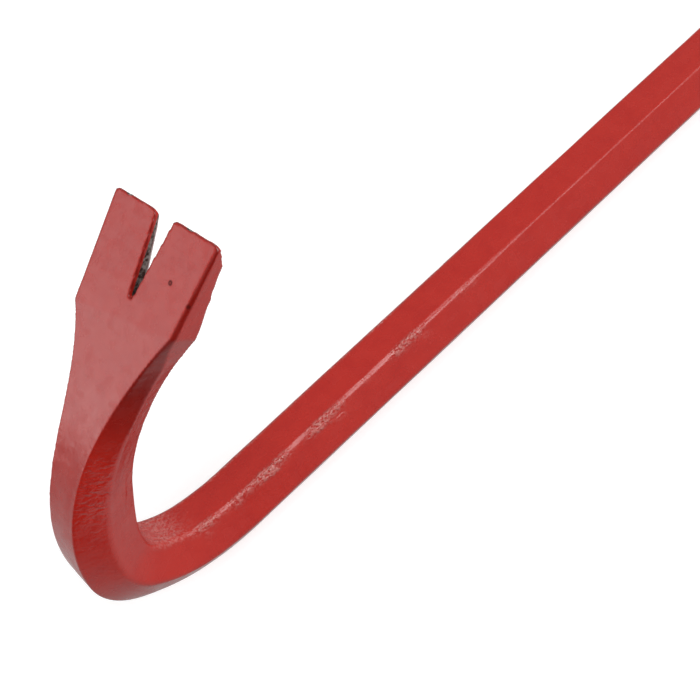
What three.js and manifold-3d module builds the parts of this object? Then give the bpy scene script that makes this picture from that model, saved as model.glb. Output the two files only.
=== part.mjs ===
// A gooseneck wrecking bar: one forging of hexagonal steel bar, bent round into a hook that
// spreads into a split nail claw, with a chisel drawn out of the straight end.
// Millimetres. +X runs along the shank to the chisel, +Z is up and +Y is across. The shank lies
// on one flat of the hexagon, the hook curls up, and the origin is under the middle of the bar.

import * as THREE from 'three';
import { mergeVertices } from 'three/addons/utils/BufferGeometryUtils.js';
import Module from 'manifold-3d';

const wasm = await Module();
wasm.setup();

// Driving dimensions, in millimetres and degrees
const overallLength = 600; // back of the hook to the chisel's edge
const acrossFlats = 19; // the hexagonal bar
const hookBends = [
  { radius: 64, sweep: 15, rings: 4 }, // starts gently out of the shank
  { radius: 37, sweep: 29, rings: 7 },
  { radius: 16, sweep: 49.5, rings: 12 }, // tight round the back of the hook
  { radius: 52, sweep: 16.5, rings: 6 },
  { radius: 85, sweep: 22.5, rings: 12 }, // opens again into the neck
  { radius: 280, sweep: 6.2, rings: 14 }, // the neck, almost straight
];
const claw = {
  length: 27.4, // shoulder to tip
  shoulderWidth: 35.1, // across the flats
  tipWidth: 37.6,
  shoulderThickness: 8.5,
  tipThickness: 3.9,
  flareLength: 64, // the stretch of neck over which the bar spreads to the shoulder
  flarePower: 2.7, // how late in that stretch it spreads
  sideRidge: 0.8, // how far the side ridges stand out past the flats
  ridgeOffset: 0.36, // and how far they lie towards the outer flat, as a share of the thickness
};
const neck = { sideRidge: 2.9, drawnInFrom: 44, drawnInBy: -11 }; // before the spread starts
const outOfSquare = { shoulder: 4.6, tip: 2.1 }; // lead of the -Y prong, at each half width
const nailSlot = { depth: 21.9, mouth: 6.5, root: 1.3 };
const nailCradle = { wallAtTip: 1.2, wallAtRoot: 4.2, pastRoot: 7 }; // a V groove inside the slot
const tipBevel = { length: 4.3, edge: 0.8 }; // ground on the inner face
const chisel = { length: 62, width: 26, thickness: 3, sideRidge: 0.6, bevel: 5, edge: 0.8 };
const kink = { radius: 110, sweep: 11, rings: 6 }; // lifts the chisel

const hexSide = acrossFlats / Math.sqrt(3);
const radians = THREE.MathUtils.degToRad;
const { lerp, smoothstep } = THREE.MathUtils;

// The centre line is a run of arcs and straights in the XZ plane, from the chisel to the claw.
const straight = (length, rings) => ({ length, turn: 0, rings });
const bend = ({ radius, sweep, rings }) => ({
  length: radius * radians(sweep),
  turn: radians(sweep),
  rings,
});
const spareLength = 5; // beyond each end, ground away below

function runThrough(shankLength) {
  return [
    straight(spareLength, 1),
    straight(chisel.length, 16),
    bend(kink),
    straight(shankLength, 8),
    ...hookBends.map(bend),
    straight(claw.length, 9),
    straight(spareLength, 1),
  ];
}

// Where the centre line is, and which way it heads, a distance along a run.
// A heading of 0 is along -X, and it turns up towards +Z.
function centreLine(run, distance) {
  const place = { x: 0, z: 0, heading: -radians(kink.sweep) };
  let left = distance;
  for (const piece of run) {
    const step = Math.min(left, piece.length);
    const turned = place.heading + (piece.turn * step) / piece.length;
    if (piece.turn === 0) {
      place.x -= Math.cos(turned) * step;
      place.z += Math.sin(turned) * step;
    } else {
      const radius = piece.length / piece.turn;
      place.x -= (Math.sin(turned) - Math.sin(place.heading)) * radius;
      place.z += (Math.cos(place.heading) - Math.cos(turned)) * radius;
    }
    place.heading = turned;
    left -= step;
  }
  // past its end the line carries straight on
  place.x -= Math.cos(place.heading) * left;
  place.z += Math.sin(place.heading) * left;
  return place;
}

const lengthOf = (run) => run.reduce((sum, piece) => sum + piece.length, 0);

// From the chisel's edge to the back of the hook, where the outer flat faces along -X.
function overallOf(run) {
  const edge = centreLine(run, spareLength).x;
  let back = edge;
  for (let along = 0; along < lengthOf(run); along += 0.5) {
    const { x, heading } = centreLine(run, along);
    back = Math.min(back, x - (Math.sin(heading) * acrossFlats) / 2);
  }
  return edge - back;
}

// The shank is as long as the overall length leaves it.
const trialShank = 100;
const bar = runThrough(trialShank + overallLength - overallOf(runThrough(trialShank)));
const clawTip = lengthOf(bar) - spareLength;
const shoulder = clawTip - claw.length;
const flareStart = shoulder - claw.flareLength;
const chiselEdge = spareLength;
const chiselRoot = chiselEdge + chisel.length;

// The section at a distance along the bar: half widths of the two flats and of the side
// ridges, the thickness between the flats, and how far the ridges sit off the middle.
function sectionAt(along) {
  if (along < chiselRoot + kink.radius * radians(kink.sweep)) {
    const drawn = 1 - smoothstep(along, chiselEdge, chiselRoot);
    const thinned = Math.max(0, (chiselRoot - along) / chisel.length);
    return {
      flat: lerp(hexSide / 2, chisel.width / 2 - chisel.sideRidge, drawn),
      ridge: lerp(hexSide, chisel.width / 2, drawn),
      thickness: lerp(acrossFlats, chisel.thickness, thinned),
      lift: 0,
    };
  }
  const spread = THREE.MathUtils.clamp((along - flareStart) / claw.flareLength, 0, 1);
  const blade = Math.max(0, (along - shoulder) / claw.length);
  const thinned = smoothstep(along, flareStart, shoulder);
  const flat =
    lerp(hexSide / 2, claw.shoulderWidth / 2, spread ** claw.flarePower) +
    ((claw.tipWidth - claw.shoulderWidth) / 2) * blade;
  const thickness =
    lerp(acrossFlats, claw.shoulderThickness, thinned) +
    (claw.tipThickness - claw.shoulderThickness) * blade;
  const drawnIn = smoothstep(along, flareStart - neck.drawnInFrom, flareStart - neck.drawnInBy);
  const ridgeInNeck = lerp(hexSide / 2, neck.sideRidge, drawnIn);
  const atShoulder = smoothstep(along, shoulder - claw.length, shoulder);
  const pinch = smoothstep(along, shoulder - claw.length / 3, shoulder);
  return {
    flat,
    ridge: flat + lerp(ridgeInNeck, claw.sideRidge, atShoulder),
    thickness,
    lift: -claw.ridgeOffset * thickness * pinch,
  };
}

// How far ahead of the middle a point lies for each millimetre that it is off it, towards -Y.
function leadAt(along) {
  const atShoulder = outOfSquare.shoulder / (claw.shoulderWidth / 2);
  const atTip = outOfSquare.tip / (claw.tipWidth / 2);
  if (along < shoulder) return atShoulder * Math.max(0, (along - flareStart) / claw.flareLength);
  return lerp(atShoulder, atTip, (along - shoulder) / claw.length);
}

// Distances along the bar of the rings of six corners that its surface is drawn through.
const ringPlaces = [0];
for (const piece of bar) {
  const start = ringPlaces.at(-1);
  for (let i = 1; i <= piece.rings; i += 1) ringPlaces.push(start + (piece.length * i) / piece.rings);
}

// The forging: a hexagonal prism, each ring of it moved to its place on the centre line and
// drawn out to the section there.
function forgedBlank() {
  const rings = ringPlaces.length - 1;
  const blank = new THREE.CylinderGeometry(1, 1, rings, 6, rings, false, Math.PI / 6);
  const corner = blank.attributes.position;
  for (let i = 0; i < corner.count; i += 1) {
    const across = corner.getX(i);
    const up = corner.getZ(i);
    const along = ringPlaces[Math.round(corner.getY(i) + rings / 2)];
    const section = sectionAt(along);
    const onSideRidge = Math.abs(across) > 0.8;
    const y = Math.sign(Math.round(across * 4)) * (onSideRidge ? section.ridge : section.flat);
    const lift = onSideRidge ? section.lift : (Math.sign(Math.round(up * 4)) * section.thickness) / 2;
    const { x, z, heading } = centreLine(bar, along - leadAt(along) * y);
    corner.setXYZ(i, x + Math.sin(heading) * lift, y, z + Math.cos(heading) * lift);
  }
  return blank;
}

function toManifold(geometry) {
  const bare = geometry.clone();
  bare.deleteAttribute('normal');
  bare.deleteAttribute('uv');
  const merged = mergeVertices(bare, 1e-4);
  return new wasm.Manifold(
    new wasm.Mesh({
      numProp: 3,
      vertProperties: new Float32Array(merged.attributes.position.array),
      triVerts: new Uint32Array(merged.index.array),
    }),
  );
}

function toGeometry(manifold) {
  const { numProp, vertProperties, triVerts } = manifold.getMesh();
  const geometry = new THREE.BufferGeometry();
  geometry.setAttribute('position', new THREE.BufferAttribute(vertProperties, numProp));
  geometry.setIndex(new THREE.BufferAttribute(triVerts, 1));
  return geometry;
}

// A frame at an end of the bar: X is along the blade's edge, Y runs out of the bar along the
// blade, and Z is across its thickness, towards the inside of the hook at the claw.
function bladeFrame(along, outwards, lead) {
  const { x, z, heading } = centreLine(bar, along);
  const out = new THREE.Vector3(-Math.cos(heading) * outwards, 0, Math.sin(heading) * outwards);
  const edge = new THREE.Vector3(0, 1, 0);
  const through = new THREE.Vector3().crossVectors(edge, out);
  edge.addScaledVector(out, -lead);
  return new THREE.Matrix4().makeBasis(edge, out, through).setPosition(x, 0, z);
}

// An outline through corners [x, y, rounding], each rounded off by a curve.
function roundedOutline(corners) {
  const outline = new THREE.Shape();
  corners.forEach(([x, y, rounding], i) => {
    const here = new THREE.Vector2(x, y);
    const before = new THREE.Vector2(...corners.at(i - 1)).sub(here).setLength(rounding).add(here);
    const after = new THREE.Vector2(...corners[(i + 1) % corners.length]).sub(here);
    after.setLength(rounding).add(here);
    if (i === 0) outline.moveTo(before.x, before.y);
    else outline.lineTo(before.x, before.y);
    outline.quadraticCurveTo(here.x, here.y, after.x, after.y);
  });
  return outline;
}

// Everything of a blade that lies outside its outline, as a solid to grind away.
const waste = { width: 60, reach: 12, depth: 30, overlap: 3 };
function outsideOf(outline, frame, blade) {
  const slab = new THREE.ExtrudeGeometry(outline, {
    depth: waste.depth,
    bevelEnabled: false,
    curveSegments: 4,
  });
  slab.translate(0, 0, -waste.depth / 2).applyMatrix4(frame);
  const region = new THREE.BoxGeometry(waste.width, blade + waste.reach, waste.depth - 4);
  region.translate(0, (waste.reach - blade) / 2, 0).applyMatrix4(frame);
  return toManifold(region).subtract(toManifold(slab));
}

// The wedge that a bevel takes off one face of a blade. It climbs from the edge by the blade's
// thickness in its own length, and carries on until it runs out of the blade's face.
function bevelCut(frame, { back, thickness, edge, face }) {
  const atEdge = edge - thickness / 2;
  const slope = (thickness - edge) / back;
  const profile = new THREE.Shape();
  profile.moveTo(-waste.reach, atEdge + slope * waste.reach);
  profile.lineTo(waste.reach, atEdge - slope * waste.reach);
  profile.lineTo(waste.reach, waste.width / 2);
  profile.lineTo(-waste.reach, waste.width / 2);
  const wedge = new THREE.ExtrudeGeometry(profile, { depth: waste.width, bevelEnabled: false });
  wedge.translate(0, 0, -waste.width / 2);
  // the profile's X runs out along the blade and its Y across the thickness
  const turn = new THREE.Matrix4().makeBasis(
    new THREE.Vector3(0, 1, 0),
    new THREE.Vector3(0, 0, face),
    new THREE.Vector3(face, 0, 0),
  );
  wedge.applyMatrix4(turn).applyMatrix4(frame);
  return toManifold(wedge);
}

// A right-angled V sunk along the inner face of the nail slot, to cradle a nail's head. It
// leaves a low square wall at the slot's mouth and a tall one at its root, and stops past it.
function cradleCut(frame) {
  const outerFaceAtTip = -claw.tipThickness / 2;
  const taper = (claw.shoulderThickness - claw.tipThickness) / claw.length;
  const outerFaceAtRoot = outerFaceAtTip - (taper * nailSlot.depth) / 2;
  const tipDepth = outerFaceAtTip + nailCradle.wallAtTip - nailSlot.mouth / 2;
  const rootDepth = outerFaceAtRoot + nailCradle.wallAtRoot - nailSlot.root / 2;
  const slope = (tipDepth - rootDepth) / nailSlot.depth;
  const top = 20;
  const reach = 12;
  const groove = new THREE.Shape();
  groove.moveTo(0, 0);
  groove.lineTo(top, top);
  groove.lineTo(-top, top);
  const length = nailSlot.depth + nailCradle.pastRoot + reach;
  const wedge = new THREE.ExtrudeGeometry(groove, { depth: length, bevelEnabled: false });
  // the profile's X is across the blade, its Y across the thickness, and it runs in from the tip
  const lie = new THREE.Matrix4().makeBasis(
    new THREE.Vector3(-1, 0, 0),
    new THREE.Vector3(0, 0, 1),
    new THREE.Vector3(0, 1, slope),
  );
  lie.setPosition(0, reach - length, tipDepth + slope * (reach - length));
  wedge.applyMatrix4(lie).applyMatrix4(frame);
  return toManifold(wedge);
}

// The claw seen square on: two prongs on either side of a V, with their corners eased.
function clawOutline() {
  const side = claw.tipWidth / 2 + claw.sideRidge;
  const clear = side + 5;
  const below = -6; // where the outline comes in to the prongs' sides
  const base = -claw.length - waste.overlap;
  const mouth = nailSlot.mouth / 2;
  const root = nailSlot.root / 2;
  return roundedOutline([
    [clear, base, 0.5],
    [clear, below, 0.5],
    [side + 0.3, below, 0.2],
    [side, 0, 2.2],
    [mouth, 0, 2.2],
    [root, -nailSlot.depth, 0.5],
    [-root, -nailSlot.depth, 0.5],
    [-mouth, 0, 1],
    [-side, 0, 2.2],
    [-side - 0.3, below, 0.2],
    [-clear, below, 0.5],
    [-clear, base, 0.5],
  ]);
}

function chiselOutline() {
  const side = chisel.width / 2;
  const clear = side + 5;
  const below = -5;
  const base = -chisel.length - waste.overlap;
  return roundedOutline([
    [clear, base, 0.5],
    [clear, below, 0.5],
    [side + 0.3, below, 0.2],
    [side, 0, 1.5],
    [-side, 0, 1.5],
    [-side - 0.3, below, 0.2],
    [-clear, below, 0.5],
    [-clear, base, 0.5],
  ]);
}

function forgedBar() {
  const clawFrame = bladeFrame(clawTip, 1, leadAt(clawTip));
  const chiselFrame = bladeFrame(chiselEdge, -1, 0);
  const clawBevel = {
    back: tipBevel.length,
    thickness: claw.tipThickness,
    edge: tipBevel.edge,
    face: 1,
  };
  const chiselBevel = {
    back: chisel.bevel,
    thickness: chisel.thickness,
    edge: chisel.edge,
    face: -1,
  };
  const ground = toManifold(forgedBlank())
    .subtract(outsideOf(clawOutline(), clawFrame, claw.length))
    .subtract(outsideOf(chiselOutline(), chiselFrame, chisel.length))
    .subtract(bevelCut(clawFrame, clawBevel))
    .subtract(cradleCut(clawFrame))
    .subtract(bevelCut(chiselFrame, chiselBevel));
  const geometry = toGeometry(ground);
  geometry.computeBoundingBox();
  const { min, max } = geometry.boundingBox;
  geometry.translate(-(min.x + max.x) / 2, 0, -min.z);
  return geometry;
}

const redPaint = new THREE.MeshStandardMaterial({
  color: 0xa81f1e,
  roughness: 0.35,
  metalness: 0,
  flatShading: true,
});

const pryBar = new THREE.Group();
const forging = new THREE.Mesh(forgedBar(), redPaint);
forging.name = 'forged_bar';
pryBar.add(forging);

export default pryBar;
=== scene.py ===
import math

import bmesh
import bpy
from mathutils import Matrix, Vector, noise


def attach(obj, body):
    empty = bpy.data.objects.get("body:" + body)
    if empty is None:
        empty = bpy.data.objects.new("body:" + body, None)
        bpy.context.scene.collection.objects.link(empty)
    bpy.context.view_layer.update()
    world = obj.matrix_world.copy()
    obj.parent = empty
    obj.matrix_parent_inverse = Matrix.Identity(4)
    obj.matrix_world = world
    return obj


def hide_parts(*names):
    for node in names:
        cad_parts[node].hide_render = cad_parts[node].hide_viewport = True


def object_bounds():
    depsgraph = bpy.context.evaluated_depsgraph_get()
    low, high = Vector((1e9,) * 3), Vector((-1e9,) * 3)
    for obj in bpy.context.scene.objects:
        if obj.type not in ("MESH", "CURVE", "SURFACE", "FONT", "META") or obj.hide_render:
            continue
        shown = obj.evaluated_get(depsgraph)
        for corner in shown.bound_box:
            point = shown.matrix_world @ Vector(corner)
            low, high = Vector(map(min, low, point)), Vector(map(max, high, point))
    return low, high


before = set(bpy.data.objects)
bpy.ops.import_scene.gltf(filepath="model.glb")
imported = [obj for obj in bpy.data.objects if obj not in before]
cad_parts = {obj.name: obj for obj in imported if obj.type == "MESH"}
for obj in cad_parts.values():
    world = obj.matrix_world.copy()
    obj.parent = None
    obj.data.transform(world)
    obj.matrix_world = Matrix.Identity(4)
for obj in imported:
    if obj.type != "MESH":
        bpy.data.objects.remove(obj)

# A gooseneck wrecking bar. Lengths are in metres. "run" is the distance along the bar's centre line
# from where the shank turns into the hook, positive round the hook to the claw. "across" is the
# distance towards +Y, and "through" the distance from the centre line towards the inside of the hook.

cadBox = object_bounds()
scene = bpy.context.scene

bar = {
    "acrossFlats": 0.019,
    "overall": 0.600,
    "hookStart": -0.25307,  # where the shank turns into the hook
    "hookBends": [(0.064, 15), (0.037, 29), (0.016, 49.5), (0.052, 16.5), (0.085, 22.5), (0.280, 6.2)],
    "clawLength": 0.0274,
    "shoulderWidth": 0.0351,
    "tipWidth": 0.0376,
    "shoulderThickness": 0.0085,
    "tipThickness": 0.0039,
    "flareLength": 0.064,
    "flarePower": 2.7,
    "neckRidge": 0.0029,  # how far the side ridges stand out past the flats in the neck
    "neckFrom": 0.044,
    "neckBy": -0.011,
    "shoulderLead": 0.0046,  # how far the -Y prong leads, at the half width
    "tipLead": 0.0021,
    "slotDepth": 0.0219,
    "kink": (0.110, 11),
    "chiselLength": 0.062,
    "chiselWidth": 0.026,
    "chiselThickness": 0.003,
    "chiselRidge": 0.0006,
    "chiselEdge": 0.0008,
    "chiselSlope": 0.44,  # how steeply the ground bevel falls
    "chiselCorner": 0.0015,
}

hexSide = bar["acrossFlats"] / math.sqrt(3)
shoulder = sum(radius * math.radians(sweep) for radius, sweep in bar["hookBends"])
clawTip = shoulder + bar["clawLength"]
flareStart = shoulder - bar["flareLength"]
kinkRadius = bar["kink"][0]
kinkTurn = math.radians(bar["kink"][1])
shankLength = (
    cadBox[0].x + bar["overall"] - bar["hookStart"]
    - kinkRadius * math.sin(kinkTurn)
    - bar["chiselLength"] * math.cos(kinkTurn)
)
chiselRoot = -shankLength - kinkRadius * kinkTurn
chiselEdge = chiselRoot - bar["chiselLength"]
hookStretches = [(radius * math.radians(sweep), math.radians(sweep)) for radius, sweep in bar["hookBends"]]
hookStretches.append((1, 0))
shankStretches = [(shankLength, 0), (kinkRadius * kinkTurn, kinkTurn), (1, 0)]


def lerp(a, b, t):
    return a + (b - a) * t


def ease(x, low, high):
    t = min(1, max(0, (x - low) / (high - low)))
    return t * t * (3 - 2 * t)


def hump(x, middle, width):
    return math.exp(-((x - middle) / width) ** 2)


# Where the centre line is and which way it heads: 0 along -X, turning up towards +Z.
def centreLine(run):
    way = 1 if run > 0 else -1
    x, z, heading = bar["hookStart"], bar["acrossFlats"] / 2, 0
    left = abs(run)
    for length, turn in hookStretches if run > 0 else shankStretches:
        step = min(left, length)
        turned = heading + way * turn * step / length
        if turn == 0:
            x -= way * math.cos(heading) * step
            z += way * math.sin(heading) * step
        else:
            radius = length / turn
            x -= (math.sin(turned) - math.sin(heading)) * radius
            z += (math.cos(heading) - math.cos(turned)) * radius
        heading = turned
        left -= step
        if left <= 0:
            break
    return x, z, heading


# Half widths of the flats and of the side ridges, and the thickness, up to the claw's shoulder.
def sectionAt(run):
    if run < -shankLength:
        drawn = 1 - ease(run, chiselEdge, chiselRoot)
        thinned = max(0, (chiselRoot - run) / bar["chiselLength"])
        return (
            lerp(hexSide / 2, bar["chiselWidth"] / 2 - bar["chiselRidge"], drawn),
            lerp(hexSide, bar["chiselWidth"] / 2, drawn),
            lerp(bar["acrossFlats"], bar["chiselThickness"], thinned),
        )
    spread = min(1, max(0, (run - flareStart) / bar["flareLength"]))
    flat = lerp(hexSide / 2, bar["shoulderWidth"] / 2, spread ** bar["flarePower"])
    thickness = lerp(bar["acrossFlats"], bar["shoulderThickness"], ease(run, flareStart, shoulder))
    drawnIn = ease(run, flareStart - bar["neckFrom"], flareStart - bar["neckBy"])
    return flat, flat + lerp(hexSide / 2, bar["neckRidge"], drawnIn), thickness


# How far ahead a point lies for each metre that it is off the middle, towards -Y.
def leadAt(run):
    atShoulder = bar["shoulderLead"] * 2 / bar["shoulderWidth"]
    atTip = bar["tipLead"] * 2 / bar["tipWidth"]
    if run < shoulder:
        return atShoulder * max(0, (run - flareStart) / bar["flareLength"])
    return lerp(atShoulder, atTip, (run - shoulder) / bar["clawLength"])


# A place on the bar's skin, as shares of the section: where it is along, across and through.
def skinPlace(run, acrossShare, throughShare):
    flat, ridge, thickness = sectionAt(run)
    through = throughShare * thickness / 2
    across = acrossShare * lerp(ridge, flat, abs(throughShare))
    fromEdge = run - chiselEdge
    if fromEdge < bar["chiselCorner"]:
        left = bar["chiselCorner"] - fromEdge
        corner = math.sqrt(max(0, bar["chiselCorner"] ** 2 - left ** 2)) - bar["chiselCorner"]
        across *= 1 + corner / (bar["chiselWidth"] / 2)
    if fromEdge < bar["chiselLength"]:
        bevel = bar["chiselEdge"] - bar["chiselThickness"] / 2 + bar["chiselSlope"] * fromEdge
        through = min(through, bevel)
    return Vector((run - leadAt(run) * across, across, through))


def pointAt(place):
    x, z, heading = centreLine(place.x)
    return Vector((x + math.sin(heading) * place.z, place.y, z + math.cos(heading) * place.z))


# The other way round: the place along, across and through the claw of a point on it.
def clawPlace(point):
    run = skin["cleanCut"]
    for _ in range(3):
        x, z, heading = centreLine(run)
        run += (x - point.x) * math.cos(heading) + (point.z - z) * math.sin(heading)
    through = (point.x - x) * math.sin(heading) + (point.z - z) * math.cos(heading)
    return Vector((run, point.y, through))


skin = {
    "roughCut": 0.092,  # run at which the claw is cut off the CAD mesh
    "cleanCut": 0.100,  # run at which the fine claw mesh is trimmed and the rest grows from it
    "hookOnly": 0.035,  # height above which only the neck and the claw lie
    "grain": 0.00042,
    "easing": 0.5,  # how far each point of the claw settles between its neighbours
    "hookStep": 0.001,
    "shankStep": 0.004,
    "chiselStep": 0.0022,
    "markedShank": 0.1,  # the stretch of shank by the hook that keeps the hook's fine steps
}


# The claw: its slot, groove and bevel come from the CAD mesh, remeshed finely and eased.
def fineClaw():
    claw = bmesh.new()
    claw.from_mesh(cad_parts["forged_bar"].data)
    bmesh.ops.remove_doubles(claw, verts=claw.verts, dist=1e-6)
    x, z, heading = centreLine(skin["roughCut"])
    along = Vector((-math.cos(heading), 0, math.sin(heading)))
    for place, normal in ((Vector((0, 0, skin["hookOnly"])), Vector((0, 0, 1))), (Vector((x, 0, z)), along)):
        everything = claw.verts[:] + claw.edges[:] + claw.faces[:]
        bmesh.ops.bisect_plane(claw, geom=everything, plane_co=place, plane_no=normal, clear_inner=True)
        bmesh.ops.holes_fill(claw, edges=[e for e in claw.edges if e.is_boundary])
    rough = bpy.data.meshes.new("roughClaw")
    claw.to_mesh(rough)
    claw.free()
    holder = bpy.data.objects.new("roughClaw", rough)
    scene.collection.objects.link(holder)
    remesh = holder.modifiers.new("Remesh", "REMESH")
    remesh.mode = "VOXEL"
    remesh.voxel_size = skin["grain"]
    holder.update_tag()
    bpy.context.view_layer.update()
    fine = bpy.data.meshes.new_from_object(holder.evaluated_get(bpy.context.evaluated_depsgraph_get()))
    bpy.data.objects.remove(holder)
    claw = bmesh.new()
    claw.from_mesh(fine)
    bpy.data.meshes.remove(fine)
    bmesh.ops.smooth_vert(
        claw, verts=claw.verts, factor=skin["easing"], use_axis_x=True, use_axis_y=True, use_axis_z=True
    )
    return claw


# Trims the claw square to its own slanted rings and gives the rim its shares of the section.
def trimClaw(claw, acrossLayer, throughLayer):
    x, z, heading = centreLine(skin["cleanCut"])
    place = Vector((x, 0, z))
    along = Vector((-math.cos(heading), 0, math.sin(heading)))
    inwards = Vector((math.sin(heading), 0, math.cos(heading)))
    everything = claw.verts[:] + claw.edges[:] + claw.faces[:]
    slanted = along + Vector((0, leadAt(skin["cleanCut"]), 0))
    bmesh.ops.bisect_plane(claw, geom=everything, plane_co=place, plane_no=slanted, clear_inner=True)
    rim = list({v for e in claw.edges if e.is_boundary for v in e.verts})
    bmesh.ops.remove_doubles(claw, verts=rim, dist=skin["grain"] * 0.3)
    flat, ridge, thickness = sectionAt(skin["cleanCut"])
    for vert in {v for e in claw.edges if e.is_boundary for v in e.verts}:
        share = (vert.co - place).dot(inwards) / (thickness / 2)
        vert[throughLayer] = share
        vert[acrossLayer] = vert.co.y / lerp(ridge, flat, abs(share))


# Distances along the bar of the rings between the claw and the chisel's edge.
def ringRuns():
    runs = []
    run = skin["cleanCut"]
    while run > chiselEdge:
        if run > chiselRoot:
            plain = ease(-run, skin["markedShank"], skin["markedShank"] + 0.04)
            step = lerp(skin["hookStep"], skin["shankStep"], plain)
        else:
            step = skin["chiselStep"]
        run = max(chiselEdge, run - step)
        runs.append(run)
    return runs


# Draws the bar out of the claw's rim: one long strip, cut into rings that are moved to their places.
def forgeSkin():
    work = fineClaw()
    placeLayer = work.verts.layers.float_vector.new("barPlace")
    acrossLayer = work.verts.layers.float.new("acrossShare")
    throughLayer = work.verts.layers.float.new("throughShare")
    ringLayer = work.verts.layers.float.new("ringShare")
    trimClaw(work, acrossLayer, throughLayer)
    for vert in work.verts:
        vert[placeLayer] = clawPlace(vert.co)
    print("claw meshed:", len(work.faces), "faces")
    runs = ringRuns()
    rim = [e for e in work.edges if e.is_boundary]
    grown = bmesh.ops.extrude_edge_only(work, edges=rim)["geom"]
    farVerts = [v for v in grown if isinstance(v, bmesh.types.BMVert)]
    for vert in farVerts:
        vert[ringLayer] = 1
        vert.co.x += bar["overall"]
    longEdges = [e for v in farVerts for e in v.link_edges if not e.is_boundary]
    bmesh.ops.subdivide_edges(work, edges=longEdges, cuts=len(runs) - 1)
    for vert in work.verts:
        ring = round(vert[ringLayer] * len(runs))
        if ring > 0:
            place = skinPlace(runs[ring - 1], vert[acrossLayer], vert[throughLayer])
            vert[placeLayer] = place
            vert.co = pointAt(place)
    bmesh.ops.holes_fill(work, edges=[e for e in work.edges if e.is_boundary])
    bmesh.ops.recalc_face_normals(work, faces=work.faces)
    for name in ("acrossShare", "throughShare", "ringShare"):
        work.verts.layers.float.remove(work.verts.layers.float[name])
    print("bar drawn out:", len(runs), "rings,", len(work.faces), "faces")
    return work


# Sizes of a pattern are its length along the bar and its width. A stretch is its middle's run and
# its half length.
relief = {
    "lumps": 0.00007,
    "lumpSize": (0.016, 0.008),
    "clawLumps": 0.4,  # the share of them that the claw keeps
    "scale": 0.000025,
    "scaleSize": (0.0042, 0.0022),
    "outerFlatScale": 0.2,  # the share of it that the outer flat keeps
    "pits": 0.00016,
    "pitSize": (0.0034, 0.0019),
    "pitRadius": 0.45,
    "pitRow": (0.0010, 0.0024),  # how far from the inner flat's ridges they lie, and their spread
    "flatPits": 0.2,  # the share of them that the inner flat keeps
    "wrinkles": 0.00016,
    "insideWrinkleSize": (0.008, 0.0012),
    "crookWrinkles": (0.032, 0.012),
    "neckWrinkles": (0.080, 0.020),
    "outsideWrinkles": (0.082, 0.014),
    "innerRounding": 0.0023,  # radius of the inner flat's ridges near the hook
    "shankRounding": 0.4,  # the share of it that the rest of the shank has
    "roundingEnds": (0.015, 0.05),  # runs over which it dies away into the hook
    "flattened": 0.0004,  # the outer ridges, pressed flat in the tight bend
    "flattenedStretch": (0.030, 0.012),
    "flattenedWidth": 0.002,
    "sink": 0.00006,  # keeps every bump inside the bar's own size
}


# A place on the bar, counted in lengths and widths of a pattern.
def inPattern(place, size):
    return Vector((place.x / size[0], place.y / size[1], place.z / size[1]))


# Marks along the ridges come and go with this.
def patchesAt(place):
    return noise.noise(Vector((place.x / 0.012, place.y / 0.03, 3.7)))


# The forging's relief at a place on the bar: hammer lumps, scale, pits by the ridges, and the
# wrinkles of the bend.
def reliefAt(place):
    run, across, through = place
    flat, ridge, thickness = sectionAt(min(run, shoulder))
    depth = through / thickness
    fine = 1 - ease(-run, skin["markedShank"] - 0.01, skin["markedShank"] + 0.02)
    lumps = noise.noise(inPattern(place, relief["lumpSize"]))
    lumps *= lerp(1, relief["clawLumps"], ease(run, flareStart, shoulder))
    scale = noise.fractal(inPattern(place, relief["scaleSize"]), 0.6, 2.1, 3)
    scale *= lerp(1, relief["outerFlatScale"], ease(-depth, 0.40, 0.46))
    # pits in rows below the ridges of the inner flat
    fromRidge = math.hypot(abs(across) - flat, through - thickness / 2)
    nearRidge = hump(fromRidge, *relief["pitRow"]) * (1 if depth < 0.46 else relief["flatPits"])
    cell = noise.voronoi(inPattern(place, relief["pitSize"]))[0][0]
    pits = -max(0, 1 - (cell / relief["pitRadius"]) ** 2) * nearRidge * ease(patchesAt(place), -0.35, 0.25)
    # the inner flat's ridges, rounded along the shank
    radius = relief["innerRounding"] * lerp(relief["shankRounding"], 1, fine)
    cut = max(0, radius * math.tan(math.pi / 6) - fromRidge) / radius
    rounded = radius * (1 - math.sqrt(1 - cut * cut)) * (1 - ease(run, *relief["roundingEnds"]))
    # wrinkles of the bend: lengthways on the inside, short and slanting on the outside
    inCrook = ease(depth, 0.40, 0.48) * hump(run, *relief["crookWrinkles"])
    inNeck = ease(depth, 0.05, 0.3) * hump(run, *relief["neckWrinkles"])
    lengthways = noise.noise(inPattern(place, relief["insideWrinkleSize"]))
    outside = ease(-depth, -0.1, 0.15) * hump(run, *relief["outsideWrinkles"])
    slanting = noise.noise(Vector((run / 0.0015 + across / 0.003, across / 0.004, through / 0.0030)))
    wrinkles = max(inCrook, inNeck) * lengthways + outside * slanting
    fromOuterRidge = math.hypot(abs(across) - flat, through + thickness / 2)
    flattened = hump(run, *relief["flattenedStretch"]) * hump(fromOuterRidge, 0, relief["flattenedWidth"])
    return (
        relief["lumps"] * lumps
        + fine * relief["scale"] * scale
        + fine * relief["pits"] * pits
        + relief["wrinkles"] * wrinkles
        - relief["flattened"] * flattened
        - rounded
        - relief["sink"]
    )


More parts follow.
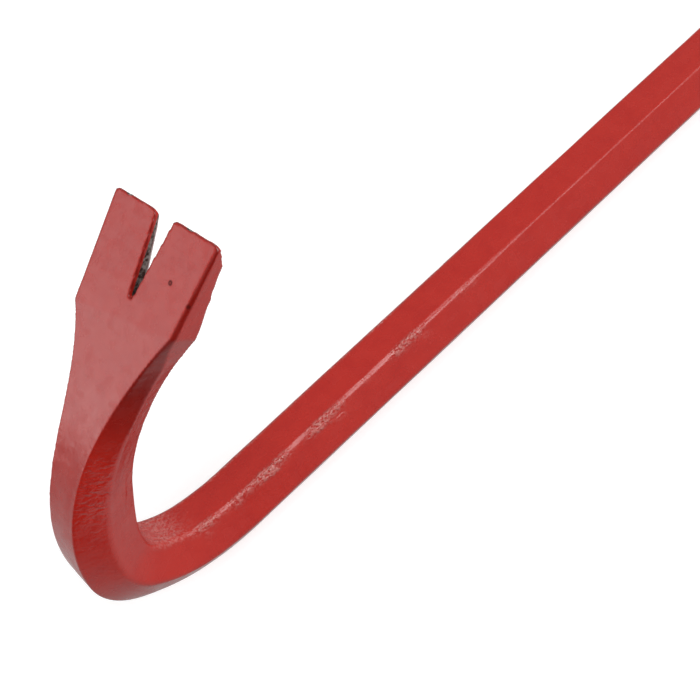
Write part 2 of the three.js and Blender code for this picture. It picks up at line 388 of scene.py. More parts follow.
creases = {
    "row": (0.0006, 0.0017),  # how far below the inner flat's ridges the dents lie, and their spread
    "strays": (0.002, 0.0022),  # the same for the ones further down
    "strayShare": 0.8,
    "straySize": (0.006, 0.003),
    "dentedFrom": (-0.105, -0.06),  # runs over which the dents set in, and die out
    "dentedTo": (0.012, 0.026),
    "crook": (0.031, 0.009),
    "crookShare": 0.45,
    "neck": (0.083, 0.018),
    "neckShare": 0.1,
    "outside": (0.082, 0.013),
    "outsideFrom": (0.004, 0.008),  # how far off the middle they set in
}


# How dented the paint is at a place, and how creased. The dents lie below the inner flat's ridges, in the
# crook and inside the neck, and their share also lays a painted highlight there.
# The creases lie across the outside of the bend.
def creasesAndHighlightAt(place):
    run, across, through = place
    flat, ridge, thickness = sectionAt(min(run, shoulder))
    depth = through / thickness
    below = max(0, thickness / 2 - through) + max(0, abs(across) - flat) * 0.5
    offFlat = 1 - ease(flat - abs(across), 0.0002, 0.0012)
    row = hump(below, *creases["row"])
    strays = creases["strayShare"] * hump(below, *creases["strays"])
    strays *= ease(noise.noise(inPattern(place, creases["straySize"])), 0.05, 0.4)
    marked = ease(run, *creases["dentedFrom"]) * (1 - ease(run, *creases["dentedTo"]))
    alongRidges = marked * ease(patchesAt(place), -0.5, 0.1) * max(row, strays) * offFlat
    inCrook = creases["crookShare"] * ease(depth, 0.40, 0.48) * hump(run, *creases["crook"])
    inNeck = creases["neckShare"] * ease(depth, 0.1, 0.35) * hump(run, *creases["neck"])
    outside = ease(-depth, -0.1, 0.15) * hump(run, *creases["outside"])
    outside *= ease(abs(across), *creases["outsideFrom"])
    return max(alongRidges, inCrook, inNeck), outside


wear = {
    "tip": (0.0001, 0.0008),  # distance from the claw's tip over which the paint comes back
    "tipShare": 0.8,
    "tipPatch": (0.0035, 0.006),  # width and length of the worn patches
    "chisel": (0.0004, 0.006),
    "chiselShare": 0.9,
    "slotHalfWidth": (0.0036, 0.0048),
    "pastSlot": 0.003,
    "paintedLip": (0.0008, 0.0015),  # depth from the outer face at which the slot's wall gets bare
}


# How far the paint is worn off at a place: 0 is sound and 1 is bare steel.
def wearAt(place, normal):
    run, across, through = place
    fromTip = clawTip - (run + leadAt(clawTip) * across)
    patchy = noise.noise(Vector((across / wear["tipPatch"][0], run / wear["tipPatch"][1], 5.2)))
    tipWear = wear["tipShare"] * (1 - ease(fromTip, *wear["tip"])) * ease(patchy, 0.2, 0.5)
    towardsRoot = (clawTip - run) / bar["clawLength"]
    outerFace = -lerp(bar["tipThickness"], bar["shoulderThickness"], towardsRoot) / 2
    slotRoot = clawTip - bar["slotDepth"]
    inSlot = ease(abs(normal.y), 0.6, 0.9) * (1 - ease(abs(across), *wear["slotHalfWidth"]))
    inSlot *= ease(run, slotRoot - wear["pastSlot"], slotRoot)
    inSlot *= ease(through - outerFace, *wear["paintedLip"])
    chiselWear = wear["chiselShare"] * (1 - ease(run - chiselEdge, *wear["chisel"]))
    return max(tipWear, inSlot, chiselWear)


# Painted shade: the paint is drawn deeper where it turns over the claw's edges and down its narrow outer
# bevels, by how far the surface faces away from the outer flat.
def paintedEdgeShadeAt(place, normal):
    heading = centreLine(place.x)[2]
    faceOn = -(normal.x * math.sin(heading) + normal.z * math.cos(heading))
    turned = 1 - ease(faceOn, 0.86, 0.97)
    return turned * ease(faceOn, -0.1, 0.3) * ease(place.x, 0.085, 0.118)


def makeBar():
    work = forgeSkin()
    placeLayer = work.verts.layers.float_vector["barPlace"]
    wearLayer = work.verts.layers.float.new("wear")
    # this layer holds the painted shade on the claw's edges and bevels
    paintedEdgeShadeLayer = work.verts.layers.float.new("edges")
    # this layer marks the dents for the bump and for the painted highlight
    creaseAndHighlightLayer = work.verts.layers.float.new("creasesAndPaintedHighlight")
    crosswaysLayer = work.verts.layers.float.new("crosswaysCreases")
    work.normal_update()
    for vert in work.verts:
        place = Vector(vert[placeLayer])
        vert[wearLayer] = wearAt(place, vert.normal)
        vert[paintedEdgeShadeLayer] = paintedEdgeShadeAt(place, vert.normal)
        vert[creaseAndHighlightLayer], vert[crosswaysLayer] = creasesAndHighlightAt(place)
        vert.co += vert.normal * reliefAt(place)
    for face in work.faces:
        face.smooth = True
    mesh = bpy.data.meshes.new("barSkin")
    work.to_mesh(mesh)
    work.free()
    piece = bpy.data.objects.new("barSkin", mesh)
    scene.collection.objects.link(piece)
    print("relief pressed in:", len(mesh.vertices), "points")
    return piece


paint = {
    "red": (0.43, 0.017, 0.010, 1),
    "deepRed": (0.40, 0.013, 0.008, 1),
    # the colour of the painted shade on the claw's edges and bevels
    "edge": (0.12, 0.006, 0.004, 1),
    # the pale pink of the painted highlight along the dents
    "paintedHighlight": (0.60, 0.27, 0.24, 1),
    # the dark of the old chip and paint run, which also paints the chip's ring of shade
    "chip": (0.05, 0.006, 0.005, 1),
    "steel": (0.34, 0.29, 0.27, 1),
    "rust": (0.050, 0.022, 0.016, 1),
    "roughness": 0.25,
    "steelRoughness": 0.5,
    "oldChip": (0.1433, -0.0103, -0.0029),  # along, across, through
    "oldChipSize": 0.00085,
    "paintRun": (0.1416, -0.0181, -0.0029),
    "paintRunSize": 0.0008,
    "slotRoot": (0.1316, 0.1390),  # the stretch of slot over which painted shade darkens the steel towards its root
}


def redEnamel():
    material = bpy.data.materials.new("redEnamel")
    material.use_nodes = True
    tree = material.node_tree
    nodes = tree.nodes
    links = tree.links
    nodes.clear()

    output = nodes.new("ShaderNodeOutputMaterial")
    output.label = "Painted forging"
    output.location = (1500, 0)
    surface = nodes.new("ShaderNodeBsdfPrincipled")
    surface.label = "Enamel and bare steel"
    surface.location = (1200, 0)
    links.new(surface.outputs["BSDF"], output.inputs["Surface"])

    objectPlace = nodes.new("ShaderNodeTexCoord")
    objectPlace.label = "Place on the bar"
    objectPlace.location = (-1400, 0)
    barRun = nodes.new("ShaderNodeAttribute")
    barRun.label = "Along, across, through"
    barRun.attribute_name = "barPlace"
    barRun.location = (-1400, -400)

    colourFrame = nodes.new("NodeFrame")
    colourFrame.label = "Colour of the enamel"
    thickPaint = nodes.new("ShaderNodeTexNoise")
    thickPaint.label = "Thick and thin paint"
    thickPaint.location = (-900, 300)
    thickPaint.parent = colourFrame
    thickPaint.inputs["Scale"].default_value = 160
    thickPaint.inputs["Detail"].default_value = 5
    thickPaint.inputs["Roughness"].default_value = 0.6
    links.new(objectPlace.outputs["Object"], thickPaint.inputs["Vector"])
    paintRamp = nodes.new("ShaderNodeValToRGB")
    paintRamp.label = "Deep red to red"
    paintRamp.location = (-600, 300)
    paintRamp.parent = colourFrame
    paintRamp.color_ramp.elements[0].position = 0.32
    paintRamp.color_ramp.elements[0].color = paint["deepRed"]
    paintRamp.color_ramp.elements[1].position = 0.58
    paintRamp.color_ramp.elements[1].color = paint["red"]
    links.new(thickPaint.outputs["Fac"], paintRamp.inputs["Fac"])

    # Painted shade: this attribute darkens the enamel over the claw's edges and bevels
    paintedEdgeShadeMap = nodes.new("ShaderNodeAttribute")
    paintedEdgeShadeMap.label = "Claw's edges"
    paintedEdgeShadeMap.attribute_name = "edges"
    paintedEdgeShadeMap.location = (-600, 50)
    paintedEdgeShadeMap.parent = colourFrame
    paintedEdgeShadeShare = nodes.new("ShaderNodeMath")
    paintedEdgeShadeShare.label = "How much deeper at the edges"
    paintedEdgeShadeShare.operation = "MULTIPLY"
    paintedEdgeShadeShare.location = (-400, 50)
    paintedEdgeShadeShare.parent = colourFrame
    paintedEdgeShadeShare.inputs[1].default_value = 0.7
    links.new(paintedEdgeShadeMap.outputs["Fac"], paintedEdgeShadeShare.inputs[0])
    paintWithPaintedEdgeShade = nodes.new("ShaderNodeMix")
    paintWithPaintedEdgeShade.label = "Deeper at the edges"
    paintWithPaintedEdgeShade.data_type = "RGBA"
    paintWithPaintedEdgeShade.location = (-200, 250)
    paintWithPaintedEdgeShade.parent = colourFrame
    paintWithPaintedEdgeShade.inputs["B"].default_value = paint["edge"]
    links.new(paintedEdgeShadeShare.outputs["Value"], paintWithPaintedEdgeShade.inputs["Factor"])
    links.new(paintRamp.outputs["Color"], paintWithPaintedEdgeShade.inputs["A"])

    wearFrame = nodes.new("NodeFrame")
    wearFrame.label = "Paint worn off the edges"
    wearMap = nodes.new("ShaderNodeAttribute")
    wearMap.label = "Worn places"
    wearMap.attribute_name = "wear"
    wearMap.location = (-900, -150)
    wearMap.parent = wearFrame
    chipNoise = nodes.new("ShaderNodeTexNoise")
    chipNoise.label = "Ragged chips"
    chipNoise.location = (-900, -350)
    chipNoise.parent = wearFrame
    chipNoise.inputs["Scale"].default_value = 700
    chipNoise.inputs["Detail"].default_value = 6
    chipNoise.inputs["Roughness"].default_value = 0.7
    links.new(objectPlace.outputs["Object"], chipNoise.inputs["Vector"])
    chipSum = nodes.new("ShaderNodeMath")
    chipSum.label = "Wear with ragged edge"
    chipSum.operation = "ADD"
    chipSum.location = (-650, -200)
    chipSum.parent = wearFrame
    links.new(wearMap.outputs["Fac"], chipSum.inputs[0])
    links.new(chipNoise.outputs["Fac"], chipSum.inputs[1])
    chipEdge = nodes.new("ShaderNodeMapRange")
    chipEdge.label = "Chip outline"
    chipEdge.location = (-420, -200)
    chipEdge.parent = wearFrame
    chipEdge.inputs["From Min"].default_value = 1.02
    chipEdge.inputs["From Max"].default_value = 1.12
    links.new(chipSum.outputs["Value"], chipEdge.inputs["Value"])

    steelFrame = nodes.new("NodeFrame")
    steelFrame.label = "Bare steel"
    rustNoise = nodes.new("ShaderNodeTexNoise")
    rustNoise.label = "Dull and rusty patches"
    rustNoise.location = (-900, -650)
    rustNoise.parent = steelFrame
    rustNoise.inputs["Scale"].default_value = 1100
    rustNoise.inputs["Detail"].default_value = 4
    links.new(objectPlace.outputs["Object"], rustNoise.inputs["Vector"])
    steelRamp = nodes.new("ShaderNodeValToRGB")
    steelRamp.label = "Rust to steel"
    steelRamp.location = (-600, -650)
    steelRamp.parent = steelFrame
    steelRamp.color_ramp.elements[0].position = 0.40
    steelRamp.color_ramp.elements[0].color = paint["rust"]
    steelRamp.color_ramp.elements[1].position = 0.62
    steelRamp.color_ramp.elements[1].color = paint["steel"]
    links.new(rustNoise.outputs["Fac"], steelRamp.inputs["Fac"])
    barParts = nodes.new("ShaderNodeSeparateXYZ")
    barParts.label = "Place along the bar"
    barParts.location = (-900, -850)
    barParts.parent = steelFrame
    links.new(barRun.outputs["Vector"], barParts.inputs["Vector"])
    fromCrook = nodes.new("ShaderNodeMath")
    fromCrook.label = "Distance from the hook's start"
    fromCrook.operation = "ABSOLUTE"
    fromCrook.location = (-750, -900)
    fromCrook.parent = steelFrame
    links.new(barParts.outputs["X"], fromCrook.inputs[0])
    # Painted shade: the bare steel is drawn darker towards the slot's root, where the slot narrows
    paintedRootShade = nodes.new("ShaderNodeMapRange")
    paintedRootShade.label = "Darkened at the slot's root"
    paintedRootShade.location = (-600, -900)
    paintedRootShade.parent = steelFrame
    paintedRootShade.inputs["From Min"].default_value = paint["slotRoot"][0]
    paintedRootShade.inputs["From Max"].default_value = paint["slotRoot"][1]
    paintedRootShade.inputs["To Min"].default_value = 0.12
    links.new(fromCrook.outputs["Value"], paintedRootShade.inputs["Value"])
    # the steel with its painted shade at the slot's root
    steelWithPaintedRootShade = nodes.new("ShaderNodeVectorMath")
    steelWithPaintedRootShade.label = "Steel with its black root"
    steelWithPaintedRootShade.operation = "SCALE"
    steelWithPaintedRootShade.location = (-300, -750)
    steelWithPaintedRootShade.parent = steelFrame
    links.new(steelRamp.outputs["Color"], steelWithPaintedRootShade.inputs[0])
    links.new(paintedRootShade.outputs["Result"], steelWithPaintedRootShade.inputs["Scale"])

    # Painted highlight: a pale pink is mixed into the enamel along the inner flat's ridges, in the crook and
    # inside the neck, speckled with the dents
    paintedHighlightFrame = nodes.new("NodeFrame")
    paintedHighlightFrame.label = "Highlit where the dents are"
    creaseAndHighlightMap = nodes.new("ShaderNodeAttribute")
    creaseAndHighlightMap.label = "Lengthways creases"
    creaseAndHighlightMap.attribute_name = "creasesAndPaintedHighlight"
    creaseAndHighlightMap.location = (-1150, 1250)
    creaseAndHighlightMap.parent = paintedHighlightFrame
    lengthwaysStretch = nodes.new("ShaderNodeMapping")
    lengthwaysStretch.label = "Long along the bar"
    lengthwaysStretch.location = (-1150, 1050)
    lengthwaysStretch.parent = paintedHighlightFrame
    lengthwaysStretch.inputs["Scale"].default_value = (900, 1500, 1500)
    links.new(barRun.outputs["Vector"], lengthwaysStretch.inputs["Vector"])
    lengthwaysNoise = nodes.new("ShaderNodeTexNoise")
    lengthwaysNoise.label = "Dents in rows"
    lengthwaysNoise.location = (-900, 1100)
    lengthwaysNoise.parent = paintedHighlightFrame
    lengthwaysNoise.inputs["Scale"].default_value = 1
    lengthwaysNoise.inputs["Detail"].default_value = 1.5
    lengthwaysNoise.inputs["Distortion"].default_value = 0.6
    links.new(lengthwaysStretch.outputs["Vector"], lengthwaysNoise.inputs["Vector"])
    paintedHighlightSpeckle = nodes.new("ShaderNodeMapRange")
    paintedHighlightSpeckle.label = "Speckled"
    paintedHighlightSpeckle.location = (-680, 1100)
    paintedHighlightSpeckle.parent = paintedHighlightFrame
    paintedHighlightSpeckle.inputs["From Min"].default_value = 0.43
    paintedHighlightSpeckle.inputs["From Max"].default_value = 0.57
    paintedHighlightSpeckle.inputs["To Min"].default_value = 0.03
    paintedHighlightSpeckle.inputs["To Max"].default_value = 0.65
    links.new(lengthwaysNoise.outputs["Fac"], paintedHighlightSpeckle.inputs["Value"])
    paintedHighlightShare = nodes.new("ShaderNodeMath")
    paintedHighlightShare.label = "How highlit"
    paintedHighlightShare.operation = "MULTIPLY"
    paintedHighlightShare.location = (-450, 1200)
    paintedHighlightShare.parent = paintedHighlightFrame
    links.new(creaseAndHighlightMap.outputs["Fac"], paintedHighlightShare.inputs[0])
    links.new(paintedHighlightSpeckle.outputs["Result"], paintedHighlightShare.inputs[1])
    paintWithPaintedHighlight = nodes.new("ShaderNodeMix")
    paintWithPaintedHighlight.label = "Brightened paint"
    paintWithPaintedHighlight.data_type = "RGBA"
    paintWithPaintedHighlight.location = (-200, 1100)
    paintWithPaintedHighlight.parent = paintedHighlightFrame
    paintWithPaintedHighlight.inputs["B"].default_value = paint["paintedHighlight"]
    links.new(paintedHighlightShare.outputs["Value"], paintWithPaintedHighlight.inputs["Factor"])
    links.new(paintWithPaintedEdgeShade.outputs["Result"], paintWithPaintedHighlight.inputs["A"])

    chipFrame = nodes.new("NodeFrame")
    chipFrame.label = "Old chip and paint run on the claw"
    toChip = nodes.new("ShaderNodeVectorMath")
    toChip.label = "Distance to the old chip"
    toChip.operation = "DISTANCE"
    toChip.location = (-900, 800)
    toChip.parent = chipFrame
    toChip.inputs[1].default_value = paint["oldChip"]
    links.new(barRun.outputs["Vector"], toChip.inputs[0])
    # Partly painted shade: the dark ring round the old chip stands in for the shade on the small pit's walls
    chipRingPaintedShade = nodes.new("ShaderNodeValToRGB")
    chipRingPaintedShade.label = "Ring round the chip"
    chipRingPaintedShade.location = (-450, 800)
    chipRingPaintedShade.parent = chipFrame
    chipRingPaintedShade.color_ramp.elements[0].position = 0.15
    chipRingPaintedShade.color_ramp.elements[0].color = (0.25, 0.25, 0.25, 1)
    chipRingPaintedShade.color_ramp.elements[1].position = 1
    chipRingPaintedShade.color_ramp.elements[1].color = (0, 0, 0, 1)
    ringStop = chipRingPaintedShade.color_ramp.elements.new(0.6)
    ringStop.color = (1, 1, 1, 1)
    chipScale = nodes.new("ShaderNodeMapRange")
    chipScale.label = "Size of the chip"
    chipScale.location = (-680, 800)
    chipScale.parent = chipFrame
    chipScale.inputs["From Max"].default_value = paint["oldChipSize"]
    links.new(toChip.outputs["Value"], chipScale.inputs["Value"])
    links.new(chipScale.outputs["Result"], chipRingPaintedShade.inputs["Fac"])
    toRun = nodes.new("ShaderNodeVectorMath")
    toRun.label = "Distance to the paint run"
    toRun.operation = "DISTANCE"
    toRun.location = (-900, 600)
    toRun.parent = chipFrame
    toRun.inputs[1].default_value = paint["paintRun"]
    links.new(barRun.outputs["Vector"], toRun.inputs[0])
    runScale = nodes.new("ShaderNodeMapRange")
    runScale.label = "Size of the paint run"
    runScale.location = (-680, 600)
    runScale.parent = chipFrame
    runScale.inputs["From Min"].default_value = paint["paintRunSize"] * 0.5
    runScale.inputs["From Max"].default_value = paint["paintRunSize"]
    runScale.inputs["To Min"].default_value = 0.75
    runScale.inputs["To Max"].default_value = 0
    links.new(toRun.outputs["Value"], runScale.inputs["Value"])
    darkSpots = nodes.new("ShaderNodeMath")
    darkSpots.label = "Either mark"
    darkSpots.operation = "MAXIMUM"
    darkSpots.location = (-200, 700)
    darkSpots.parent = chipFrame
    links.new(chipRingPaintedShade.outputs["Color"], darkSpots.inputs[0])
    links.new(runScale.outputs["Result"], darkSpots.inputs[1])
    glossLost = nodes.new("ShaderNodeMapRange")
    glossLost.label = "No gloss in the marks"
    glossLost.location = (0, 800)
    glossLost.parent = chipFrame
    glossLost.inputs["To Min"].default_value = 0.5
    glossLost.inputs["To Max"].default_value = 0
    links.new(darkSpots.outputs["Value"], glossLost.inputs["Value"])
    links.new(glossLost.outputs["Result"], surface.inputs["Specular IOR Level"])
    spotted = nodes.new("ShaderNodeMix")
    spotted.label = "Enamel with its marks"
    spotted.data_type = "RGBA"
    spotted.location = (0, 500)
    spotted.parent = chipFrame
    spotted.inputs["B"].default_value = paint["chip"]
    links.new(darkSpots.outputs["Value"], spotted.inputs["Factor"])
    links.new(paintWithPaintedHighlight.outputs["Result"], spotted.inputs["A"])

    finalColour = nodes.new("ShaderNodeMix")
    finalColour.label = "Paint or steel"
    finalColour.data_type = "RGBA"
    finalColour.location = (0, 200)
    links.new(chipEdge.outputs["Result"], finalColour.inputs["Factor"])
    links.new(spotted.outputs["Result"], finalColour.inputs["A"])
    links.new(steelWithPaintedRootShade.outputs["Vector"], finalColour.inputs["B"])
    links.new(finalColour.outputs["Result"], surface.inputs["Base Color"])

    metalShare = nodes.new("ShaderNodeMath")
    metalShare.label = "Metal where bare"
    metalShare.operation = "MULTIPLY"
    metalShare.location = (0, -80)
    metalShare.inputs[1].default_value = 0.85
    links.new(chipEdge.outputs["Result"], metalShare.inputs[0])
    links.new(metalShare.outputs["Value"], surface.inputs["Metallic"])

    glossFrame = nodes.new("NodeFrame")
    glossFrame.label = "Gloss of the enamel"
    glossNoise = nodes.new("ShaderNodeTexNoise")
    glossNoise.label = "Patchy gloss"
    glossNoise.location = (-300, -350)
    glossNoise.parent = glossFrame
    glossNoise.inputs["Scale"].default_value = 260
    glossNoise.inputs["Detail"].default_value = 4
    links.new(objectPlace.outputs["Object"], glossNoise.inputs["Vector"])
    glossRange = nodes.new("ShaderNodeMapRange")
    glossRange.label = "Gloss to satin"
    glossRange.location = (-50, -350)
    glossRange.parent = glossFrame
    glossRange.inputs["From Min"].default_value = 0.3
    glossRange.inputs["From Max"].default_value = 0.7
    glossRange.inputs["To Min"].default_value = paint["roughness"] - 0.06
    glossRange.inputs["To Max"].default_value = paint["roughness"] + 0.08
    links.new(glossNoise.outputs["Fac"], glossRange.inputs["Value"])
    roughMix = nodes.new("ShaderNodeMix")
    roughMix.label = "Rougher where bare"
    roughMix.location = (250, -300)
    roughMix.parent = glossFrame
    roughMix.inputs["B"].default_value = paint["steelRoughness"]
    links.new(chipEdge.outputs["Result"], roughMix.inputs["Factor"])
    links.new(glossRange.outputs["Result"], roughMix.inputs["A"])
    links.new(roughMix.outputs["Result"], surface.inputs["Roughness"])

    grainFrame = nodes.new("NodeFrame")
    grainFrame.label = "Grain under the paint"
    orangePeel = nodes.new("ShaderNodeTexNoise")
    orangePeel.label = "Orange peel"
    orangePeel.location = (0, -700)
    orangePeel.parent = grainFrame
    orangePeel.inputs["Scale"].default_value = 800
    orangePeel.inputs["Detail"].default_value = 2
    links.new(objectPlace.outputs["Object"], orangePeel.inputs["Vector"])
    drawnGrain = nodes.new("ShaderNodeMapping")
    drawnGrain.label = "Stretched along the bar"
    drawnGrain.location = (-300, -950)
    drawnGrain.parent = grainFrame
    drawnGrain.inputs["Scale"].default_value = (160, 900, 900)
    links.new(barRun.outputs["Vector"], drawnGrain.inputs["Vector"])
    drawMarks = nodes.new("ShaderNodeTexNoise")
    drawMarks.label = "Rolling marks"
    drawMarks.location = (0, -950)
    drawMarks.parent = grainFrame
    drawMarks.inputs["Scale"].default_value = 1
    drawMarks.inputs["Detail"].default_value = 4
    links.new(drawnGrain.outputs["Vector"], drawMarks.inputs["Vector"])
    marksBump = nodes.new("ShaderNodeBump")
    marksBump.label = "Rolling marks"
    marksBump.location = (300, -900)
    marksBump.parent = grainFrame
    marksBump.inputs["Strength"].default_value = 0.22
    marksBump.inputs["Distance"].default_value = 0.0002
    links.new(drawMarks.outputs["Fac"], marksBump.inputs["Height"])
    peelBump = nodes.new("ShaderNodeBump")
    peelBump.label = "Orange peel"
    peelBump.location = (600, -700)
    peelBump.parent = grainFrame
    peelBump.inputs["Strength"].default_value = 0.22
    peelBump.inputs["Distance"].default_value = 0.0002
    links.new(orangePeel.outputs["Fac"], peelBump.inputs["Height"])
    links.new(marksBump.outputs["Normal"], peelBump.inputs["Normal"])

    creaseFrame = nodes.new("NodeFrame")
    creaseFrame.label = "Creases and scale under the paint"
    lengthwaysDepth = nodes.new("ShaderNodeMath")
    lengthwaysDepth.label = "Dents where creased"
    lengthwaysDepth.operation = "MULTIPLY"
    lengthwaysDepth.location = (250, -1300)
    lengthwaysDepth.parent = creaseFrame
    links.new(lengthwaysNoise.outputs["Fac"], lengthwaysDepth.inputs[0])
    links.new(creaseAndHighlightMap.outputs["Fac"], lengthwaysDepth.inputs[1])
    lengthwaysBump = nodes.new("ShaderNodeBump")
    lengthwaysBump.label = "Dents in rows"
    lengthwaysBump.location = (850, -1150)
    lengthwaysBump.parent = creaseFrame
    lengthwaysBump.inputs["Strength"].default_value = 1
    lengthwaysBump.inputs["Distance"].default_value = 0.0008
    links.new(lengthwaysDepth.outputs["Value"], lengthwaysBump.inputs["Height"])
    links.new(peelBump.outputs["Normal"], lengthwaysBump.inputs["Normal"])
    crosswaysMap = nodes.new("ShaderNodeAttribute")
    crosswaysMap.label = "Crossways creases"
    crosswaysMap.attribute_name = "crosswaysCreases"
    crosswaysMap.location = (-300, -1700)
    crosswaysMap.parent = creaseFrame
    crosswaysStretch = nodes.new("ShaderNodeMapping")
    crosswaysStretch.label = "Slanting across the bar"
    crosswaysStretch.location = (-300, -1900)
    crosswaysStretch.parent = creaseFrame
    crosswaysStretch.inputs["Rotation"].default_value = (0, 0, 0.5)
    crosswaysStretch.inputs["Scale"].default_value = (750, 400, 400)
    links.new(barRun.outputs["Vector"], crosswaysStretch.inputs["Vector"])
    crosswaysNoise = nodes.new("ShaderNodeTexNoise")
    crosswaysNoise.label = "Short creases"
    crosswaysNoise.location = (0, -1800)
    crosswaysNoise.parent = creaseFrame
    crosswaysNoise.inputs["Scale"].default_value = 1
    crosswaysNoise.inputs["Detail"].default_value = 2
    crosswaysNoise.inputs["Distortion"].default_value = 0.7
    links.new(crosswaysStretch.outputs["Vector"], crosswaysNoise.inputs["Vector"])
    crosswaysDepth = nodes.new("ShaderNodeMath")
    crosswaysDepth.label = "Creases where bent"
    crosswaysDepth.operation = "MULTIPLY"
    crosswaysDepth.location = (250, -1750)
    crosswaysDepth.parent = creaseFrame
    links.new(crosswaysNoise.outputs["Fac"], crosswaysDepth.inputs[0])
    links.new(crosswaysMap.outputs["Fac"], crosswaysDepth.inputs[1])
    crosswaysBump = nodes.new("ShaderNodeBump")
    crosswaysBump.label = "Short creases"
    crosswaysBump.location = (1000, -1500)
    crosswaysBump.parent = creaseFrame
    crosswaysBump.inputs["Strength"].default_value = 1
    crosswaysBump.inputs["Distance"].default_value = 0.0006
    links.new(crosswaysDepth.outputs["Value"], crosswaysBump.inputs["Height"])
    links.new(lengthwaysBump.outputs["Normal"], crosswaysBump.inputs["Normal"])
    links.new(crosswaysBump.outputs["Normal"], surface.inputs["Normal"])

    return material


floorLook = {
    "size": 40,
    "drop": 0.0002,
    "pale": (0.52, 0.52, 0.52, 1),
    "shade": (0.49, 0.49, 0.49, 1),
    "glow": 0.66,  # a light table, so that shadows on it stay faint
}


def paleFloor():
    material = bpy.data.materials.new("paleFloor")
    material.use_nodes = True
    nodes = material.node_tree.nodes
    links = material.node_tree.links
    surface = nodes["Principled BSDF"]
    surface.label = "Matt board"
    surface.inputs["Roughness"].default_value = 0.9
    surface.inputs["Specular IOR Level"].default_value = 0.1
    surface.inputs["Emission Color"].default_value = (1, 1, 1, 1)
    surface.inputs["Emission Strength"].default_value = floorLook["glow"]
    place = nodes.new("ShaderNodeTexCoord")
    place.label = "Place on the floor"
    place.location = (-900, 200)
    mottle = nodes.new("ShaderNodeTexNoise")
    mottle.label = "Faint mottle"
    mottle.location = (-700, 200)
    mottle.inputs["Scale"].default_value = 3
    ramp = nodes.new("ShaderNodeValToRGB")
    ramp.label = "Pale board"
    ramp.location = (-450, 200)
    ramp.color_ramp.elements[0].color = floorLook["shade"]
    ramp.color_ramp.elements[1].color = floorLook["pale"]
    links.new(place.outputs["Object"], mottle.inputs["Vector"])
    links.new(mottle.outputs["Fac"], ramp.inputs["Fac"])
    links.new(ramp.outputs["Color"], surface.inputs["Base Color"])
    return material


def makeFloor():
    work = bmesh.new()
    bmesh.ops.create_grid(work, x_segments=1, y_segments=1, size=floorLook["size"] / 2)
    bmesh.ops.translate(work, verts=work.verts, vec=(0, 0, -floorLook["drop"]))
    mesh = bpy.data.meshes.new("floor")
    work.to_mesh(mesh)
    work.free()
    floor = bpy.data.objects.new("floor", mesh)
    scene.collection.objects.link(floor)
    mesh.materials.append(paleFloor())
    floor.visible_glossy = False
    floor.visible_diffuse = False


camera = {"place": (-0.28554, -0.20768, 0.32834), "turn": (33.975, 14.418, -42.184), "lens": 66.91}


def makeCamera():
    data = bpy.data.cameras.new("camera")
    data.lens = camera["lens"]
    data.sensor_width = 36
    data.clip_start = 0.01
    eye = bpy.data.objects.new("camera", data)
    eye.location = camera["place"]
    eye.rotation_euler = [math.radians(angle) for angle in camera["turn"]]
    scene.collection.objects.link(eye)
    scene.camera = eye


# Each softbox: the way to it from the hook, how far off, its width and height, and its strength.
softboxes = {
    "overhead": {"way": (0.17, -0.56, 0.81), "away": 1.1, "size": (0.36, 1.4), "strength": 10},
    "clawSide": {"way": (-0.80, 0.53, 0.33), "away": 1.2, "size": (0.9, 0.7), "strength": 3.3},
    "crookSide": {"way": (0.82, 0.56, 0.14), "away": 1.4, "size": (0.6, 0.35), "strength": 1.2},
    "neckSpark": {"way": (-0.749, 0.627, 0.215), "away": 0.913, "size": (0.05, 0.05), "strength": 0.045},
    "frontSide": {"way": (0.60, -0.64, 0.48), "away": 1.4, "size": (0.9, 0.35), "strength": 3.4},
}
hookMiddle = Vector((-0.26, 0, 0.05))


def makeLights():
    for name, box in softboxes.items():
        data = bpy.data.lights.new(name, "AREA")
        data.shape = "RECTANGLE"
        data.size, data.size_y = box["size"]
        data.energy = box["strength"]
        lamp = bpy.data.objects.new(name, data)
        way = Vector(box["way"]).normalized()
        lamp.location = hookMiddle + way * box["away"]
        lamp.rotation_euler = way.to_track_quat("Z", "Y").to_euler()
        scene.collection.objects.link(lamp)


# The studio's walls by height, and a black card that keeps light off the hook's front.
sky = {
    "floorwards": 0.64,
    "low": 0.68,
    "horizon": 0.50,
    "above": 0.43,
    "card": (-0.57, -0.80, -0.12),
    "cardEdge": (0.71, 0.88),
    "cardShade": 0.02,
}


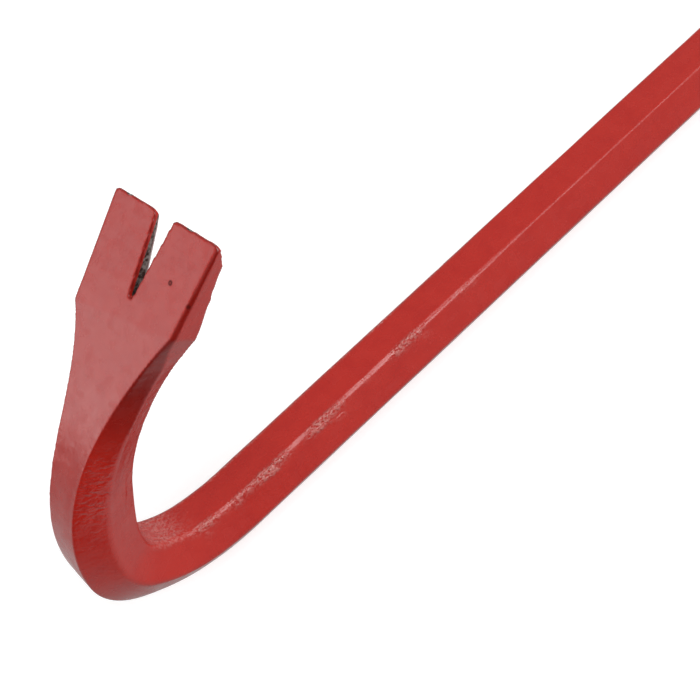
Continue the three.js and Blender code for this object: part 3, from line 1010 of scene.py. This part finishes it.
def makeSky():
    world = bpy.data.worlds.new("studio")
    world.use_nodes = True
    scene.world = world
    nodes = world.node_tree.nodes
    links = world.node_tree.links
    background = nodes["Background"]
    background.label = "Studio walls"
    way = nodes.new("ShaderNodeTexCoord")
    way.label = "Way out of the studio"
    way.location = (-1100, 0)
    parts = nodes.new("ShaderNodeSeparateXYZ")
    parts.label = "Height"
    parts.location = (-900, 100)
    height = nodes.new("ShaderNodeMapRange")
    height.label = "Down to up"
    height.location = (-700, 100)
    height.inputs["From Min"].default_value = -1
    shade = nodes.new("ShaderNodeValToRGB")
    shade.label = "Dark below, pale walls"
    shade.location = (-500, 100)
    stops = shade.color_ramp.elements
    stops[0].position = 0
    stops[0].color = (sky["floorwards"], sky["floorwards"], sky["floorwards"], 1)
    stops[1].position = 0.25
    stops[1].color = (sky["low"], sky["low"], sky["low"], 1)
    level = stops.new(0.5)
    level.color = (sky["horizon"], sky["horizon"], sky["horizon"], 1)
    top = stops.new(0.85)
    top.color = (sky["above"], sky["above"], sky["above"], 1)
    links.new(way.outputs["Generated"], parts.inputs["Vector"])
    links.new(parts.outputs["Z"], height.inputs["Value"])
    links.new(height.outputs["Result"], shade.inputs["Fac"])
    towards = nodes.new("ShaderNodeVectorMath")
    towards.label = "Towards the black card"
    towards.operation = "DOT_PRODUCT"
    towards.location = (-900, -150)
    towards.inputs[1].default_value = Vector(sky["card"]).normalized()
    links.new(way.outputs["Generated"], towards.inputs[0])
    card = nodes.new("ShaderNodeMapRange")
    card.label = "Card's soft edge"
    card.interpolation_type = "SMOOTHSTEP"
    card.location = (-700, -150)
    card.inputs["From Min"].default_value = sky["cardEdge"][0]
    card.inputs["From Max"].default_value = sky["cardEdge"][1]
    card.inputs["To Min"].default_value = 1
    card.inputs["To Max"].default_value = sky["cardShade"]
    links.new(towards.outputs["Value"], card.inputs["Value"])
    shaded = nodes.new("ShaderNodeVectorMath")
    shaded.label = "Walls with the card"
    shaded.operation = "SCALE"
    shaded.location = (-200, 0)
    links.new(shade.outputs["Color"], shaded.inputs[0])
    links.new(card.outputs["Result"], shaded.inputs["Scale"])
    links.new(shaded.outputs["Vector"], background.inputs["Color"])


scene.view_settings.view_transform = "Standard"
makeCamera()
makeSky()
makeLights()
makeFloor()
barSkin = makeBar()
barSkin.data.materials.append(redEnamel())
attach(barSkin, "root")
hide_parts("forged_bar")
print("bar painted")
